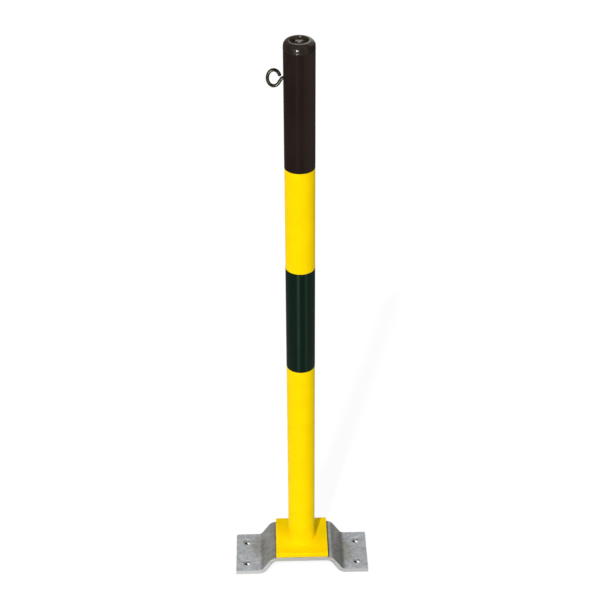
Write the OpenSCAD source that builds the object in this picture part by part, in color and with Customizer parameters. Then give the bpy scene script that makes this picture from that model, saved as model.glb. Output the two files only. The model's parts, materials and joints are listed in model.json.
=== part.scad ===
// Removable barrier post with a triangular key lock, standing on a bolted-down ground bracket.
// Z = 0 is the ground, the tube's axis is x = 0, y = 0, and -Y is the front.

/* [Ground bracket] */
// Length over both feet
bridge_length = 245; // [230:1:320]
// Width of the flat bar
bridge_width = 98; // [96:1:120]
// Thickness of the flat bar
strip_t = 8; // [6:0.5:9]
// Clear height under the deck
deck_rise = 31; // [29:0.5:45]
// Length of the deck between its bends
deck_flat = 92; // [88:1:110]
// Slope of the webs from the floor
web_angle = 57; // [50:1:75]
// Inner radius of the bends
bend_r = 10; // [4:0.5:12]
// Distance between the foot holes along X
foot_hole_span_x = 205; // [196:1:212]
// Distance between the foot holes along Y
foot_hole_span_y = 54; // [40:1:66]
// Diameter of the foot holes
foot_hole_d = 13; // [9:0.5:16]
// Radius of the one rounded foot corner, at the rear left
foot_corner_r = 4.5; // [1:0.5:8]

/* [Foot plate] */
// Side of the square plate
plate_size = 95; // [80:1:96]
// Thickness of the plate
plate_t = 10; // [8:0.5:14]
// Leg of the weld between tube and plate
weld_leg = 2.2; // [1.5:0.1:5]
// Diameter of the two dowels under the plate
dowel_d = 8; // [5:0.5:10]
// Distance of the dowels from the axis
dowel_offset = 34; // [28:0.5:38]
// Depth of the dowels in the plate
dowel_grip = 6; // [4:0.5:7]

/* [Tube] */
// Outer diameter of the tube
tube_od = 48.3; // [46:0.1:60.3]
// Wall of the tube
tube_wall = 2.6; // [2:0.1:2.9]
// Length of the tube above the plate
tube_length = 976; // [700:1:1200]

/* [Bands] */
// Thickness of the adhesive film
band_t = 0.15; // [0.1:0.05:0.5]
// Height of the upper band, which starts at the head
upper_band_h = 196; // [120:1:250]
// Height of bare tube between the bands
band_gap = 184; // [100:1:220]
// Height of the lower band
lower_band_h = 198; // [100:1:220]

/* [Head] */
// Height of the head above the tube
head_h = 15; // [11:0.5:20]
// Radius of the rounded shoulder
shoulder_r = 9; // [4:0.5:9]
// Diameter of the key recess
recess_d = 29.2; // [27:0.2:30]
// Depth of the key recess
recess_depth = 20; // [16:0.5:24]
// Radius of the recess's edge
recess_edge_r = 0.6; // [0.3:0.1:0.7]
// Thickness of the floor under the recess
head_floor_t = 12; // [8:0.5:14]
// Depth of the plug in the tube
plug_depth = 30; // [28:0.5:45]
// Wall of the plug's hollow lower end
plug_wall = 4.5; // [3:0.5:4.5]

/* [Lock spindle and rod] */
// Distance from the axis to each flat of the triangular key
key_flat_r = 4.2; // [3.6:0.1:4.6]
// Diameter over the key's trimmed corners
key_corner_d = 14; // [13:0.1:16]
// Distance of the key's top below the head's top
key_drop = 2; // [1:0.5:4]
// Diameter of the spindle and of the rod
rod_d = 12; // [10:0.5:13]
// Diameter of the collar under the key
collar_d = 21; // [17:0.5:23]
// Thickness of the collar
collar_t = 3; // [2:0.5:5]
// Wall of the upper and lower bushes
bush_wall = 4; // [3:0.5:4]
// Thickness of the thrust washer
washer_t = 1.5; // [1:0.1:2]
// Diameter of the thrust washer
washer_d = 23; // [19:0.5:24]
// Diameter of the stop pin
stop_pin_d = 5; // [4:0.5:6]
// Length of the spindle's shank below the head's floor
shank_l = 58; // [50:1:80]
// Outer diameter of the coupling sleeve
sleeve_d = 20; // [18:0.5:24]
// Length of the coupling sleeve
sleeve_l = 44; // [36:1:50]
// Diameter of the sleeve's cross pins
sleeve_pin_d = 4; // [3:0.5:5]

/* [Hammer head] */
// Length of the crossbar
hammer_l = 56; // [50:1:60]
// Width of the crossbar
hammer_w = 14.5; // [14:0.5:18]
// Height of the crossbar
hammer_h = 12; // [10:0.5:14]
// Height of the ramps on the crossbar's leading edges
hammer_ramp = 2.5; // [1:0.5:4]
// Diameter of the crossbar's pin
hammer_pin_d = 5; // [4:0.5:6]
// Wall of the spigot that centres the post on the bracket
spigot_wall = 6.5; // [5:0.5:7]
// Height of the spigot under the plate
spigot_h = 6; // [4:0.5:6]

/* [Wire eye] */
// Diameter of the wire
eye_wire = 5.2; // [4:0.1:5.6]
// Width over the eye
eye_w = 24; // [22:0.5:28]
// Height over the eye
eye_h = 31; // [28:0.5:36]
// Distance of the corner where the shank bends from the film
eye_bend_gap = 1.7; // [1.7:0.1:4]
// Distance of the eye's shank below the tube's top
eye_drop = 45.5; // [42:0.5:60]
// Angle on the ring where the wire's free end is cut
eye_cut = 15; // [12:1:25]
// Angle on the ring where the wire leaves for the shank
eye_leave = 320; // [310:1:322]
// Width across the flats of the nut inside the tube
nut_flats = 8; // [8:0.5:10]
// Height of the nut
nut_h = 4; // [3:0.5:5]

/* [Clearances] */
// Play round a shaft that turns, at each side
run_gap = 0.08; // [0.04:0.01:0.1]
// Play round a piece that is pressed or pinned, at each side
seat_gap = 0.04; // [0.02:0.01:0.08]
// Play between faces that pass each other
slide_gap = 0.4; // [0.3:0.05:0.6]
// Play of the dowels, the spigot and the hammer head in the bracket, in all
fit_gap = 1; // [0.5:0.1:1.6]

/* [Hidden] */
$fn = 96;
cut = 1;

deck_z = deck_rise + strip_t;
plate_z = deck_z + plate_t;
tube_top_z = plate_z + tube_length;
head_top_z = tube_top_z + head_h;

tube_r = tube_od / 2;
bore_r = tube_r - tube_wall;
film_r = tube_r + band_t;
plug_r = bore_r - seat_gap;
plug_z = tube_top_z - plug_depth;
recess_z = head_top_z - recess_depth;
floor_z = recess_z - head_floor_t;

rod_r = rod_d / 2;
bush_r = rod_r + run_gap + bush_wall;
spindle_end_z = floor_z - shank_l;
washer_z = floor_z - slide_gap / 2 - washer_t;
stop_pin_z = washer_z - stop_pin_d / 2;
stop_pin_l = 2 * (plug_r - plug_wall - fit_gap);
sleeve_z = spindle_end_z - sleeve_l / 2;

hammer_z = deck_rise - slide_gap - hammer_h;
hammer_pin_z = hammer_z + hammer_h / 2;
spigot_r = rod_r + run_gap + spigot_wall;

eye_z = tube_top_z - eye_drop;
eye_half_w = (eye_w - eye_wire) / 2;
eye_half_h = (eye_h - eye_wire) / 2;
eye_x = -(film_r + eye_bend_gap + eye_half_w / cos(eye_leave));
nut_face_x = -sqrt(pow(bore_r, 2) - pow(nut_flats / 2, 2)) + seat_gap;

// Points of an arc round a centre, from one angle to another
function arc(centre, r, from, to, steps = 10) =
    [for (i = [0:steps]) centre + r * [cos(from + (to - from) * i / steps), sin(from + (to - from) * i / steps)]];

function mirrored(points) = [for (i = [len(points) - 1:-1:0]) [-points[i].x, points[i].y]];

// One half of the bent bar's upper or lower outline, from the deck to the end of the foot
function strip_outline(deck_bend_r, foot_bend_r, foot_z) =
    let (drop = deck_rise - strip_t - 2 * bend_r + (2 * bend_r + strip_t) * cos(web_angle),
        foot_bend_x = deck_flat / 2 + (2 * bend_r + strip_t) * sin(web_angle) + drop / tan(web_angle))
    concat(
        arc([deck_flat / 2, deck_rise - bend_r], deck_bend_r, 90, 90 - web_angle),
        arc([foot_bend_x, strip_t + bend_r], foot_bend_r, 270 - web_angle, 270),
        [[bridge_length / 2, foot_z]]);

module strip_section() {
    upper = strip_outline(bend_r + strip_t, bend_r, strip_t);
    lower = strip_outline(bend_r, bend_r + strip_t, 0);
    polygon(concat(mirrored(upper), upper, [for (i = [len(lower) - 1:-1:0]) lower[i]],
        [for (p = lower) [-p.x, p.y]]));
}

module at_foot_holes() {
    for (x = [-1, 1], y = [-1, 1])
        translate([x * foot_hole_span_x / 2, y * foot_hole_span_y / 2, 0]) children();
}

module at_dowels() {
    for (y = [-1, 1]) translate([0, y * dowel_offset, 0]) children();
}

// The slot that lets the hammer head through when it lies along X, with a round middle for the spigot
module deck_slot() {
    half_l = (hammer_l + fit_gap) / 2;
    half_w = (hammer_w + fit_gap) / 2;
    translate([0, 0, deck_rise - cut]) {
        cylinder(r = spigot_r + fit_gap / 2, h = strip_t + 2 * cut);
        translate([-(half_l - half_w), -half_w, 0]) cube([2 * (half_l - half_w), 2 * half_w, strip_t + 2 * cut]);
        for (x = [-1, 1]) translate([x * (half_l - half_w), 0, 0]) cylinder(r = half_w, h = strip_t + 2 * cut);
    }
}

module rear_left_corner_cut() {
    translate([-bridge_length / 2, bridge_width / 2, -cut]) difference() {
        translate([-cut, -foot_corner_r, 0]) cube([foot_corner_r + cut, foot_corner_r + cut, strip_t + 2 * cut]);
        translate([foot_corner_r, -foot_corner_r, -cut]) cylinder(r = foot_corner_r, h = strip_t + 4 * cut);
    }
}

module ground_bridge() color("darkgray") difference() {
    translate([0, bridge_width / 2, 0]) rotate([90, 0, 0]) linear_extrude(bridge_width) strip_section();
    at_foot_holes() translate([0, 0, -cut]) cylinder(d = foot_hole_d, h = strip_t + 2 * cut);
    at_dowels() translate([0, 0, deck_rise - cut]) cylinder(d = dowel_d + fit_gap, h = strip_t + 2 * cut);
    deck_slot();
    rear_left_corner_cut();
}

module foot_plate() color("gold") difference() {
    translate([-plate_size / 2, -plate_size / 2, deck_z]) cube([plate_size, plate_size, plate_t]);
    translate([0, 0, deck_z - cut]) cylinder(r = bush_r + seat_gap, h = plate_t + 2 * cut);
    at_dowels() translate([0, 0, deck_z - cut]) cylinder(r = dowel_d / 2 + seat_gap, h = dowel_grip + cut);
}

// A fillet weld with a slightly hollow face
module plate_weld() color("gold") rotate_extrude() {
    face = [for (i = [1:7]) let (s = i / 8, hollow = 0.1 * weld_leg * sin(180 * s))
        [tube_r + weld_leg * (1 - s) - hollow, plate_z + weld_leg * s - hollow]];
    polygon(concat([[tube_r, plate_z], [tube_r + weld_leg, plate_z]], face, [[tube_r, plate_z + weld_leg]]));
}

module locating_pins() color("silver") at_dowels() translate([0, 0, deck_z + dowel_grip]) mirror([0, 0, 1]) {
    cylinder(d = dowel_d, h = dowel_grip + spigot_h - dowel_d / 8);
    translate([0, 0, dowel_grip + spigot_h - dowel_d / 8])
        cylinder(d1 = dowel_d, d2 = dowel_d * 0.75, h = dowel_d / 8);
}

module bottom_bush() color("darkgoldenrod") translate([0, 0, deck_z]) difference() {
    union() {
        cylinder(r = bush_r, h = plate_t);
        translate([0, 0, -spigot_h]) cylinder(r = spigot_r, h = spigot_h);
    }
    translate([0, 0, -spigot_h - cut]) cylinder(r = rod_r + run_gap, h = spigot_h + plate_t + 2 * cut);
}

module eye_hole(play) {
    translate([0, 0, eye_z]) rotate([0, -90, 0]) cylinder(d = eye_wire + play, h = tube_od);
}

module post_tube() color("gold") difference() {
    translate([0, 0, plate_z]) cylinder(r = tube_r, h = tube_length);
    translate([0, 0, plate_z - cut]) cylinder(r = bore_r, h = tube_length + 2 * cut);
    eye_hole(slide_gap);
}

module film(from_z, height) translate([0, 0, from_z]) difference() {
    cylinder(r = film_r, h = height);
    translate([0, 0, -cut]) cylinder(r = tube_r, h = height + 2 * cut);
}

module upper_band() color("#29211e") difference() {
    film(tube_top_z - upper_band_h, upper_band_h);
    eye_hole(2 * slide_gap);
}

module lower_band() color("#16241d") film(tube_top_z - upper_band_h - band_gap - lower_band_h, lower_band_h);

module head_section() {
    recess_r = recess_d / 2;
    skirt_r = plug_r - plug_wall;
    bevel = plug_wall / 4;
    polygon(concat(
        arc([film_r - shoulder_r, head_top_z - shoulder_r], shoulder_r, 90, 0, 14),
        [[film_r, tube_top_z], [plug_r, tube_top_z], [plug_r, plug_z + bevel], [plug_r - bevel, plug_z],
            [skirt_r, plug_z], [skirt_r, floor_z], [bush_r + seat_gap, floor_z], [bush_r + seat_gap, recess_z],
            [recess_r, recess_z]],
        arc([recess_r + recess_edge_r, head_top_z - recess_edge_r], recess_edge_r, 180, 90, 4)));
}

// Lugs in two opposite quarters, which stop the cross pin at both ends of its quarter turn
module stop_lugs() {
    flank = stop_pin_d / 2 + slide_gap;
    reach = plug_r - plug_wall / 2;
    for (turn = [0, 180]) rotate(turn) intersection() {
        translate([-reach, flank, plug_z]) cube([reach - flank, reach, floor_z - plug_z + cut]);
        difference() {
            translate([0, 0, plug_z]) cylinder(r = reach, h = floor_z - plug_z + cut);
            translate([0, 0, plug_z - cut]) cylinder(r = washer_d / 2 + slide_gap, h = floor_z - plug_z + 3 * cut);
        }
    }
}

module head_cap() color("#2a2522") union() {
    rotate_extrude() head_section();
    stop_lugs();
}

module top_bush() color("darkgoldenrod") translate([0, 0, floor_z]) difference() {
    cylinder(r = bush_r, h = head_floor_t);
    translate([0, 0, -cut]) cylinder(r = rod_r + run_gap, h = head_floor_t + 2 * cut);
}

// The eye's centre line in its own plane: round the ring, off along the tangent, and into the tube
function ring_point(a) = [eye_x + eye_half_w * cos(a), eye_z + eye_half_h * sin(a)];

function bezier(p, q, r, s) = pow(1 - s, 2) * p + 2 * s * (1 - s) * q + pow(s, 2) * r;

function eye_path() =
    let (leave = ring_point(eye_leave),
        slope = [-eye_half_w * sin(eye_leave), eye_half_h * cos(eye_leave)],
        corner = leave + slope * (eye_z - leave.y) / slope.y,
        bend = eye_wire / 2,
        before = corner - bend * slope / norm(slope),
        after = corner + [bend, 0])
    concat(
        [for (i = [0:44]) ring_point(eye_cut + (eye_leave - eye_cut) * i / 44)],
        [for (i = [0:6]) bezier(before, corner, after, i / 6)],
        [[nut_face_x + nut_h + cut, eye_z]]);

function ring_round(path, i, r, sides) =
    let (ahead = path[min(i + 1, len(path) - 1)] - path[max(i - 1, 0)],
        across = [-ahead.y, ahead.x] / norm(ahead))
    [for (k = [0:sides - 1]) let (a = 360 * k / sides)
        [path[i].x + r * cos(a) * across.x, r * sin(a), path[i].y + r * cos(a) * across.y]];

module swept_wire(path, r, sides) {
    rings = len(path);
    points = [for (i = [0:rings - 1]) each ring_round(path, i, r, sides)];
    walls = [for (i = [0:rings - 2], k = [0:sides - 1]) let (n = (k + 1) % sides)
        [i * sides + k, (i + 1) * sides + k, (i + 1) * sides + n, i * sides + n]];
    start_cap = [[for (k = [0:sides - 1]) k]];
    end_cap = [[for (k = [sides - 1:-1:0]) (rings - 1) * sides + k]];
    polyhedron(points, concat(walls, start_cap, end_cap), convexity = 6);
}

module eye_screw() color("#2c2b28") swept_wire(eye_path(), eye_wire / 2, 16);

module eye_nut() color("silver") translate([nut_face_x, 0, eye_z]) rotate([0, 90, 0]) difference() {
    cylinder(d = nut_flats / cos(30), h = nut_h, $fn = 6);
    translate([0, 0, -cut]) cylinder(r = eye_wire / 2 + seat_gap, h = nut_h + 2 * cut);
}

module cross_hole(z, d, length) {
    translate([-length / 2, 0, z]) rotate([0, 90, 0]) cylinder(d = d, h = length);
}

// The triangular key: one corner points to the front
module key_triangle(height) intersection() {
    linear_extrude(height) polygon([for (a = [-90, 30, 150]) 2 * key_flat_r * [cos(a), sin(a)]]);
    union() {
        cylinder(d = key_corner_d, h = height - cut);
        translate([0, 0, height - cut]) cylinder(d1 = key_corner_d, d2 = key_corner_d - 2 * cut, h = cut);
    }
}

module key_spindle() color("dimgray") difference() {
    collar_z = recess_z + slide_gap / 2;
    union() {
        translate([0, 0, spindle_end_z]) cylinder(d = rod_d, h = collar_z - spindle_end_z + cut);
        translate([0, 0, collar_z]) cylinder(d = collar_d, h = collar_t);
        translate([0, 0, collar_z + collar_t - cut])
            key_triangle(head_top_z - key_drop - collar_z - collar_t + cut);
    }
    cross_hole(stop_pin_z, stop_pin_d + 2 * seat_gap, 2 * rod_d);
    cross_hole(spindle_end_z + sleeve_l / 4, sleeve_pin_d + 2 * seat_gap, 2 * rod_d);
}

module thrust_washer() color("silver") translate([0, 0, washer_z]) difference() {
    cylinder(d = washer_d, h = washer_t);
    translate([0, 0, -cut]) cylinder(r = rod_r + seat_gap, h = washer_t + 2 * cut);
}

module stop_pin() color("silver") cross_hole(stop_pin_z, stop_pin_d, stop_pin_l);

module coupling_sleeve() color("darkgray") difference() {
    translate([0, 0, sleeve_z]) cylinder(d = sleeve_d, h = sleeve_l);
    translate([0, 0, sleeve_z - cut]) cylinder(r = rod_r + seat_gap, h = sleeve_l + 2 * cut);
    for (side = [-1, 1]) cross_hole(spindle_end_z + side * sleeve_l / 4, sleeve_pin_d + 2 * seat_gap, 2 * sleeve_d);
}

module coupling_pins() color("silver")
    for (side = [-1, 1]) cross_hole(spindle_end_z + side * sleeve_l / 4, sleeve_pin_d, sleeve_d);

module lock_rod() color("darkgray") difference() {
    translate([0, 0, hammer_z]) cylinder(d = rod_d, h = spindle_end_z - hammer_z);
    cross_hole(spindle_end_z - sleeve_l / 4, sleeve_pin_d + 2 * seat_gap, 2 * rod_d);
    cross_hole(hammer_pin_z, hammer_pin_d + 2 * seat_gap, 2 * rod_d);
}

// Crossbar with round ends and a ramp on each leading edge. It lies along Y when the lock is shut.
module hammer_head() color("darkgray") difference() {
    translate([0, 0, hammer_z]) intersection() {
        translate([-hammer_w / 2, -hammer_l / 2, 0]) cube([hammer_w, hammer_l, hammer_h]);
        cylinder(d = hammer_l, h = hammer_h);
    }
    for (turn = [0, 180]) rotate(turn)
        translate([hammer_w / 2, rod_r + bush_wall, hammer_z + hammer_h - hammer_ramp])
            rotate([0, -45, 0]) cube([hammer_w, hammer_l, hammer_w]);
    translate([0, 0, hammer_z - cut]) cylinder(r = rod_r + seat_gap, h = hammer_h + 2 * cut);
    cross_hole(hammer_pin_z, hammer_pin_d + 2 * seat_gap, 2 * hammer_w);
}

module hammer_pin() color("silver") cross_hole(hammer_pin_z, hammer_pin_d, hammer_w);

ground_bridge();
foot_plate();
plate_weld();
locating_pins();
bottom_bush();
post_tube();
upper_band();
lower_band();
head_cap();
top_bush();
eye_screw();
eye_nut();
key_spindle();
thrust_washer();
stop_pin();
coupling_sleeve();
coupling_pins();
lock_rod();
hammer_head();
hammer_pin();
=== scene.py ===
# Removable barrier post on its ground bracket. Z up, -Y is the front, X = Y = 0 is the tube's axis.
# The studio is in metres. Shapes, and the masks of the finishes, are worked out in millimetres.
import json
import math

import bmesh
import bpy
import numpy as np
from mathutils import Matrix, Vector
from mathutils.geometry import delaunay_2d_cdt


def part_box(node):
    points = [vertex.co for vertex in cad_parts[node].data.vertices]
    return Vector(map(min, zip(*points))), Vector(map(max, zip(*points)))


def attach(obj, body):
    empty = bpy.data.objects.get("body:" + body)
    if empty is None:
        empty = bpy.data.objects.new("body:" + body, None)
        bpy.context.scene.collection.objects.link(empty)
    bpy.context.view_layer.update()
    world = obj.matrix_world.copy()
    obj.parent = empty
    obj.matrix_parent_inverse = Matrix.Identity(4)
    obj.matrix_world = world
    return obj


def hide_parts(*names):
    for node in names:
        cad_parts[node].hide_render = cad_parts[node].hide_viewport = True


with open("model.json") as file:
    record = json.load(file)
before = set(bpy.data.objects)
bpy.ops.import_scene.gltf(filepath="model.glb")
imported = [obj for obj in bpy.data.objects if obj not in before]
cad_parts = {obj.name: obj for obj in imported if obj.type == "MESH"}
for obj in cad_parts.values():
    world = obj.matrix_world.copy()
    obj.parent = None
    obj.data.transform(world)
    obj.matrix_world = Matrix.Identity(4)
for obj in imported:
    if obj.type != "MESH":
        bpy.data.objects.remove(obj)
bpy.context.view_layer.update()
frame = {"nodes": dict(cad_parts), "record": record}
print("frame loaded:", len(frame["nodes"]), "nodes")

mm = 0.001
turn = 2 * math.pi
record = frame["record"]
slotOf = {part["node"]: part["material_slot"] for part in record["subparts"]}
bodyOf = {node: body for body, nodes in record["behaviour"]["bodies"].items() for node in nodes}
anchors = next(mount["dims"] for mount in record["mounts"] if mount["name"] == "foot_holes")
holeAt = (anchors["spacing_x_mm"] / 2, anchors["spacing_y_mm"] / 2)
holeR = anchors["hole_r_mm"]


def span(node):
    # lowest and highest corner of a CAD node
    low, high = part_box(node)
    return np.array(low) / mm, np.array(high) / mm


def seen(red, green, blue):
    # an sRGB colour from 0 to 255, as it should look, turned into the linear values that shaders use
    levels = np.array([red, green, blue]) / 255
    linear = np.where(levels <= 0.04045, levels / 12.92, ((levels + 0.055) / 1.055) ** 2.4)
    return (*(float(level) for level in linear), 1.0)


# Camera

cameraSpec = {"place": (-0.0007, -1.877, 1.849), "pitch": 34.07, "turn": -1.35, "roll": 0.28, "lens": 82.32}


def addCamera(spec):
    lens = bpy.data.cameras.new("camera")
    lens.sensor_width, lens.lens = 36, spec["lens"]
    lens.clip_end = 50
    camera = bpy.data.objects.new("camera", lens)
    bpy.context.scene.collection.objects.link(camera)
    turned = Matrix.Rotation(math.radians(spec["turn"]), 4, "Z") @ Matrix.Translation(spec["place"])
    tilted = Matrix.Rotation(math.radians(90 - spec["pitch"]), 4, "X")
    camera.matrix_world = turned @ tilted @ Matrix.Rotation(math.radians(-spec["roll"]), 4, "Z")
    bpy.context.scene.camera = camera


addCamera(cameraSpec)
bpy.context.scene.view_settings.view_transform = "Standard"


# Shader nodes by short names

def place(tree, kind, inputs=None, **settings):
    # one shader node: settings are its own properties, inputs are links or plain values by socket
    made = tree.nodes.new(kind)
    for name, value in settings.items():
        setattr(made, name, value)
    for socket, value in (inputs or {}).items():
        if isinstance(value, bpy.types.NodeSocket):
            tree.links.new(value, made.inputs[socket])
        else:
            made.inputs[socket].default_value = value
    return made


def mixColour(tree, factor, first, second, blend="MIX"):
    # with MULTIPLY, the first colour is multiplied by the second where the factor is 1
    return place(tree, "ShaderNodeMix", {0: factor, 6: first, 7: second}, data_type="RGBA",
                 blend_type=blend).outputs[2]


def mixValue(tree, factor, first, second):
    return place(tree, "ShaderNodeMix", {0: factor, 2: first, 3: second}).outputs[0]


def ramp(tree, value, low, high, toLow=0.0, toHigh=1.0):
    return place(tree, "ShaderNodeMapRange", {
        "Value": value, "From Min": low, "From Max": high, "To Min": toLow, "To Max": toHigh},
        interpolation_type="SMOOTHSTEP").outputs[0]


def maths(tree, operation, first, second=0.0):
    return place(tree, "ShaderNodeMath", {0: first, 1: second}, operation=operation).outputs[0]


def product(tree, first, *others):
    for other in others:
        first = maths(tree, "MULTIPLY", first, other)
    return first


def restOf(tree, share):
    return maths(tree, "SUBTRACT", 1.0, share)


def awayFrom(tree, value, middle=0.0):
    return maths(tree, "ABSOLUTE", maths(tree, "SUBTRACT", value, middle))


def inside(tree, value, low, high, soft=0.3):
    # 1 where the value lies between low and high, with soft ends
    return product(tree, ramp(tree, value, low - soft, low), ramp(tree, value, high + soft, high))


def vectorMaths(tree, operation, first, second=(0, 0, 0), output=0):
    return place(tree, "ShaderNodeVectorMath", {0: first, 1: second}, operation=operation).outputs[output]


def inMillimetres(tree, position):
    return vectorMaths(tree, "MULTIPLY", position, (1 / mm, 1 / mm, 1 / mm))


def axes(tree, vector):
    return place(tree, "ShaderNodeSeparateXYZ", {0: vector}).outputs


def fromAxis(tree, x, y):
    # how far a point lies from the upright axis
    flat = place(tree, "ShaderNodeCombineXYZ", {0: x, 1: y}).outputs[0]
    return vectorMaths(tree, "LENGTH", flat, output="Value")


def fromHoles(tree, x, y, shift=(0, 0)):
    # how far a point lies from the axis of the nearest foot hole, with all four holes shifted
    off = [maths(tree, "SUBTRACT", awayFrom(tree, value, by), at) for value, by, at in zip((x, y), shift, holeAt)]
    return fromAxis(tree, *off)


def noise(tree, position, scale, detail):
    return place(tree, "ShaderNodeTexNoise", {"Vector": position, "Scale": scale, "Detail": detail}).outputs


# Floor, sky and lamps

glossSides = ((0.25, 0.6, 0.35), (-0.2, -0.7, 0.4))


def seenByEye(tree, way, front):
    # what shows of the pale studio: 1 to camera and transmission rays, 0 to the light on the object. Glossy rays
    # see it too, but dimmer in front of the object and at its sides, where flags stand
    path = place(tree, "ShaderNodeLightPath").outputs
    flags = [ramp(tree, way[0], near, far, 1.0, dim) for near, far, dim in glossSides]
    far, near, dim = front
    gloss = product(tree, path["Is Glossy Ray"], ramp(tree, way[1], far, near, dim, 1.0), *flags)
    direct = maths(tree, "MAXIMUM", path["Is Camera Ray"], path["Is Transmission Ray"])
    return maths(tree, "MAXIMUM", direct, gloss)


floorSpec = {"size": 30.0, "height": -0.0002, "tone": 0.66, "eyeTone": 0.13, "glow": 0.9,
             "front": (-0.5, -0.12, 0.3), "right": (-0.05, 0.12, 0.12), "feetX": (81.5, 121.7), "feetY": 48.2,
             "feetColour": (38, 41, 40), "feetGlow": 0.4, "lightShift": (5.8, 6.0), "lightR": (5.3, 6.1)}


def floorMaterial(spec):
    material = bpy.data.materials.new("paleFloor")
    material.use_nodes = True
    tree = material.node_tree
    shader = tree.nodes["Principled BSDF"]
    position = place(tree, "ShaderNodeTexCoord").outputs["Object"]
    way = axes(tree, position)
    eye = seenByEye(tree, way, spec["front"])
    # painted shadow: under the bracket's feet the floor is painted dark where it shows through their holes,
    # but for a painted patch of light where each hole lets the light from the front left fall
    x, y, _ = axes(tree, inMillimetres(tree, position))
    under = product(tree, inside(tree, awayFrom(tree, x), *spec["feetX"]),
                    ramp(tree, awayFrom(tree, y), spec["feetY"], spec["feetY"] - 0.3),
                    ramp(tree, fromHoles(tree, x, y, spec["lightShift"]), *spec["lightR"]))
    near, far, dim = spec["right"]
    tone = mixValue(tree, eye, ramp(tree, way[0], near, far, spec["tone"], spec["tone"] * dim), spec["eyeTone"])
    tree.links.new(mixColour(tree, under, tone, seen(*spec["feetColour"])), shader.inputs["Base Color"])
    # the feet's undersides get a little light, so that they show from below, where the floor is clear
    path = place(tree, "ShaderNodeLightPath").outputs
    feetGlow = product(tree, restOf(tree, path["Is Camera Ray"]), under, spec["feetGlow"])
    glow = maths(tree, "ADD", product(tree, eye, restOf(tree, under), spec["glow"]), feetGlow)
    tree.links.new(glow, shader.inputs["Emission Strength"])
    shader.inputs["Emission Color"].default_value = (1, 1, 1, 1)
    shader.inputs["Roughness"].default_value = 0.9
    shader.inputs["Specular IOR Level"].default_value = 0.0
    below = product(tree, place(tree, "ShaderNodeNewGeometry").outputs["Backfacing"], path["Is Camera Ray"])
    clear = place(tree, "ShaderNodeBsdfTransparent").outputs[0]
    both = place(tree, "ShaderNodeMixShader", {0: below, 1: shader.outputs[0], 2: clear})
    tree.links.new(both.outputs[0], tree.nodes["Material Output"].inputs[0])
    return material


def addFloor(spec):
    half = spec["size"] / 2
    mesh = bpy.data.meshes.new("floor")
    corners = [(-half, -half, 0), (half, -half, 0), (half, half, 0), (-half, half, 0)]
    mesh.from_pydata(corners, [], [(0, 1, 2, 3)])
    mesh.materials.append(floorMaterial(spec))
    floor = bpy.data.objects.new("floor", mesh)
    floor.location.z = spec["height"]
    bpy.context.scene.collection.objects.link(floor)


skySpec = {"tone": 0.27, "ceiling": 0.12, "ceilingRise": (0.74, 0.9), "front": (-0.25, 0.3, 0.12),
           "right": (0.1, 0.55, 0.1)}


def addSky(spec):
    world = bpy.data.worlds.new("studio")
    world.use_nodes = True
    tree = world.node_tree
    tree.nodes.clear()
    way = axes(tree, place(tree, "ShaderNodeTexCoord").outputs["Generated"])
    backdrop = ramp(tree, way[2], *spec["ceilingRise"], 1.0, spec["ceiling"])
    # the right side is flagged off, which rounds the tube
    near, far, dim = spec["right"]
    sky = ramp(tree, way[0], near, far, spec["tone"], spec["tone"] * dim)
    strength = mixValue(tree, seenByEye(tree, way, spec["front"]), sky, backdrop)
    glow = place(tree, "ShaderNodeBackground", {"Color": (1, 1, 1, 1), "Strength": strength})
    place(tree, "ShaderNodeOutputWorld", {0: glow.outputs[0]})
    bpy.context.scene.world = world


# soft suns light the surfaces; the two boxes in front are seen by glossy rays alone and give the glints
sunSpec = {
    "softKey": {"strength": 1.99, "angle": 3.0, "turn": -16.0, "rise": 48.5},
    "leftFill": {"strength": 1.24, "angle": 60.0, "turn": -78.0, "rise": 16.0},
    "rightFill": {"strength": 1.74, "angle": 45.0, "turn": 42.0, "rise": 20.0}}
boxSpec = {
    "glossBox": {"strength": 110.0, "size": (0.6, 0.7), "turn": -16.5, "away": 2.2, "middle": 0.77},
    "glossSide": {"strength": 44.0, "size": (0.6, 1.2), "turn": 40.0, "away": 2.2, "middle": 0.6}}


def addLamp(name, kind, spec, rise=0.0, away=3.0, middle=0.0):
    # a lamp that looks at the tube's axis, turned away from the front and raised over the floor by two angles
    light = bpy.data.lights.new(name, kind)
    light.energy = spec["strength"]
    lamp = bpy.data.objects.new(name, light)
    bpy.context.scene.collection.objects.link(lamp)
    side, up = math.radians(spec["turn"]), math.radians(rise)
    toLight = Vector((math.sin(side) * math.cos(up), -math.cos(side) * math.cos(up), math.sin(up)))
    lamp.location = toLight * away + Vector((0, 0, middle))
    lamp.rotation_euler = toLight.to_track_quat("Z", "Y").to_euler()
    return lamp, light


def addLamps():
    for name, spec in sunSpec.items():
        lamp, light = addLamp(name, "SUN", spec, rise=spec["rise"])
        light.angle = math.radians(spec["angle"])
        lamp.visible_glossy = False
    for name, spec in boxSpec.items():
        lamp, light = addLamp(name, "AREA", spec, away=spec["away"], middle=spec["middle"])
        light.shape, light.size, light.size_y = "RECTANGLE", *spec["size"]
        lamp.visible_diffuse = False


addFloor(floorSpec)
addSky(skySpec)
addLamps()
print("camera, floor and light placed")


# Node groups that the finishes share

def newGroup(name, inputs, outputs):
    group = bpy.data.node_groups.new(name, "ShaderNodeTree")
    for socket, (kind, value) in inputs.items():
        made = group.interface.new_socket(socket, in_out="INPUT", socket_type=kind)
        made.default_value = value
    for socket in outputs:
        group.interface.new_socket(socket, in_out="OUTPUT", socket_type="NodeSocketFloat")
    return group, place(group, "NodeGroupInput").outputs


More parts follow.
